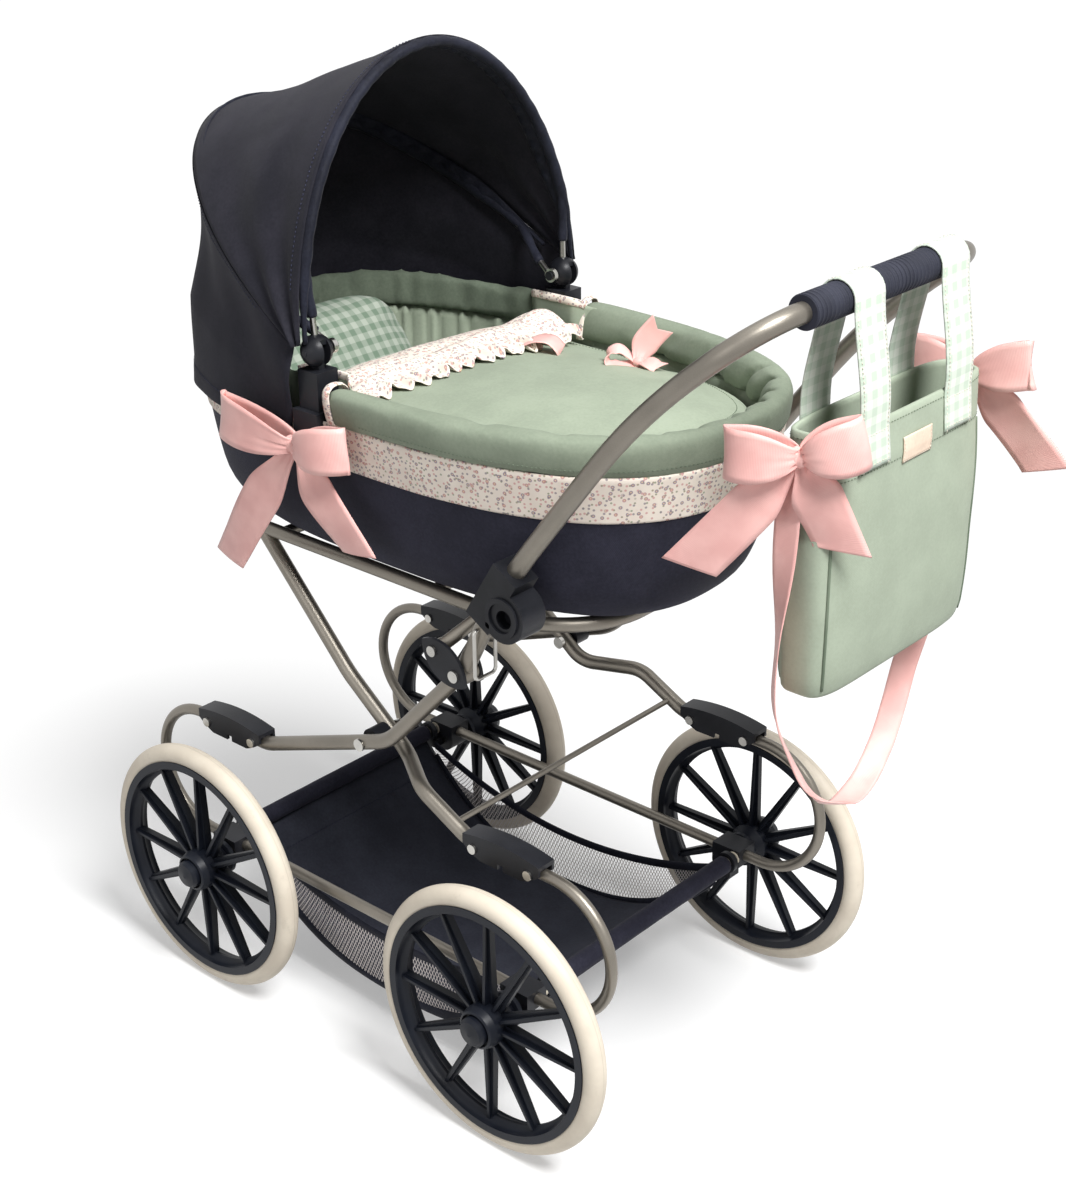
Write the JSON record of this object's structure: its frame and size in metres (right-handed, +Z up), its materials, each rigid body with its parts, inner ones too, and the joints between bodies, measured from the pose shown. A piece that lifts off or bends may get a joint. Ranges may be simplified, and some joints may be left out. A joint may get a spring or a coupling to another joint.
{
  "type": "doll's pram",
  "caption": "Classic doll's pram: spoked wheels on a sprung tube chassis, padded carrycot with folding bow hood, folding handle, sling basket and a hanging bag.",
  "frame": {"origin": "on the ground, midway between the four wheels", "axes": "+X towards the handle end, -Y the near side in the picture, +Z up"},
  "size_m": [0.762, 0.417, 0.8555],
  "materials": {
    "navy_plastic": "satin moulded plastic",
    "ivory_tyre": "matt ivory rubber",
    "black_plastic": "satin moulded plastic",
    "steel": "bright steel",
    "pewter_paint": "satin pewter paint",
    "navy_foam": "matt foam with fine rings",
    "navy_cloth": "matt woven cloth",
    "net": "white net",
    "sage_cloth": "matt woven cloth",
    "pale_cloth": "matt woven cloth",
    "gingham_cloth": "sage and white check",
    "pink_ribbon": "satin ribbon"
  },
  "bodies": {
    "chassis": {"axle_bracket_hood_near": "black_plastic", "axle_bracket_hood_far": "black_plastic", "axle_bracket_handle_near": "black_plastic", "axle_bracket_handle_far": "black_plastic", "stub_axles": "steel", "side_rail_near": "pewter_paint", "side_rail_far": "pewter_paint", "clip_hood_near": "black_plastic", "clip_hood_far": "black_plastic", "clip_handle_near": "black_plastic", "clip_handle_far": "black_plastic", "clip_rivets": "steel", "front_leg_near": "pewter_paint", "front_leg_far": "pewter_paint", "rear_leg_near": "pewter_paint", "rear_leg_far": "pewter_paint", "crossing_bolts": "steel", "crossing_spacers": "black_plastic", "cross_rod": "pewter_paint", "cot_frame": "pewter_paint", "knuckle_near": "black_plastic", "knuckle_far": "black_plastic", "knuckle_pins": "steel", "basket_bars": "pewter_paint", "basket_cloth": "navy_cloth", "basket_mesh_near": "net", "basket_mesh_far": "net", "cot_body": "navy_cloth", "rim_roll": "sage_cloth", "hood_end_roll": "sage_cloth", "mattress": "pale_cloth", "pillow": "gingham_cloth", "coverlet": "sage_cloth", "hood_mount_near": "black_plastic", "hood_mount_far": "black_plastic", "hood_rear": "navy_cloth", "cot_bow": "pink_ribbon"},
    "wheel_hood_near": {"wheel_hood_near": "navy_plastic", "tyre_hood_near": "ivory_tyre"},
    "wheel_hood_far": {"wheel_hood_far": "navy_plastic", "tyre_hood_far": "ivory_tyre"},
    "wheel_handle_near": {"wheel_handle_near": "navy_plastic", "tyre_handle_near": "ivory_tyre"},
    "wheel_handle_far": {"wheel_handle_far": "navy_plastic", "tyre_handle_far": "ivory_tyre"},
    "hood_middle": {"middle_bow": "steel"},
    "hood_front": {"front_bow": "steel", "hood_balls": "black_plastic", "hood_top": "navy_cloth"},
    "handle": {"handle_tube": "pewter_paint", "grip": "navy_foam", "hinge_housing_near": "black_plastic", "hinge_housing_far": "black_plastic"},
    "bail_near": {"bail_near": "steel"},
    "bail_far": {"bail_far": "steel"},
    "bag": {"bag": "sage_cloth", "bag_straps": "gingham_cloth", "shoulder_ribbon": "pink_ribbon", "bag_bows": "pink_ribbon"}
  },
  "joints": [
    {"name": "wheel_hood_near_spin", "type": "hinge", "parent": "chassis", "child": "wheel_hood_near", "pos_m": [-0.178, -0.182, 0.12], "axis": [0, 1, 0], "continuous": true},
    {"name": "wheel_hood_far_spin", "type": "hinge", "parent": "chassis", "child": "wheel_hood_far", "pos_m": [-0.178, 0.182, 0.12], "axis": [0, 1, 0], "continuous": true},
    {"name": "wheel_handle_near_spin", "type": "hinge", "parent": "chassis", "child": "wheel_handle_near", "pos_m": [0.178, -0.182, 0.12], "axis": [0, 1, 0], "continuous": true},
    {"name": "wheel_handle_far_spin", "type": "hinge", "parent": "chassis", "child": "wheel_handle_far", "pos_m": [0.178, 0.182, 0.12], "axis": [0, 1, 0], "continuous": true},
    {"name": "hood_middle_fold", "type": "hinge", "parent": "chassis", "child": "hood_middle", "pos_m": [-0.026, 0, 0.637], "axis": [0, -1, 0], "range_deg": [0, 20], "deforming": ["hood_rear"]},
    {"name": "hood_front_fold", "type": "hinge", "parent": "hood_middle", "child": "hood_front", "pos_m": [-0.026, 0, 0.637], "axis": [0, -1, 0], "range_deg": [0, 40], "deforming": ["hood_top"]},
    {"name": "handle_fold", "type": "hinge", "parent": "chassis", "child": "handle", "pos_m": [0.121, 0, 0.40425], "axis": [0, 1, 0], "range_deg": [0, 50]},
    {"name": "bag_swing", "type": "hinge", "parent": "handle", "child": "bag", "pos_m": [0.386, 0, 0.73425], "axis": [0, 1, 0], "range_deg": [-55, 12]},
    {"name": "bail_near_swing", "type": "hinge", "parent": "handle", "child": "bail_near", "pos_m": [0.14447, -0.144, 0.45065], "axis": [0, 1, 0], "range_deg": [-60, 5]},
    {"name": "bail_far_swing", "type": "hinge", "parent": "handle", "child": "bail_far", "pos_m": [0.14447, 0.144, 0.45065], "axis": [0, 1, 0], "range_deg": [-60, 5]}
  ],
  "couplings": [
    {"joint": "hood_front_fold", "follows": "hood_middle_fold", "ratio": 2}
  ]
}
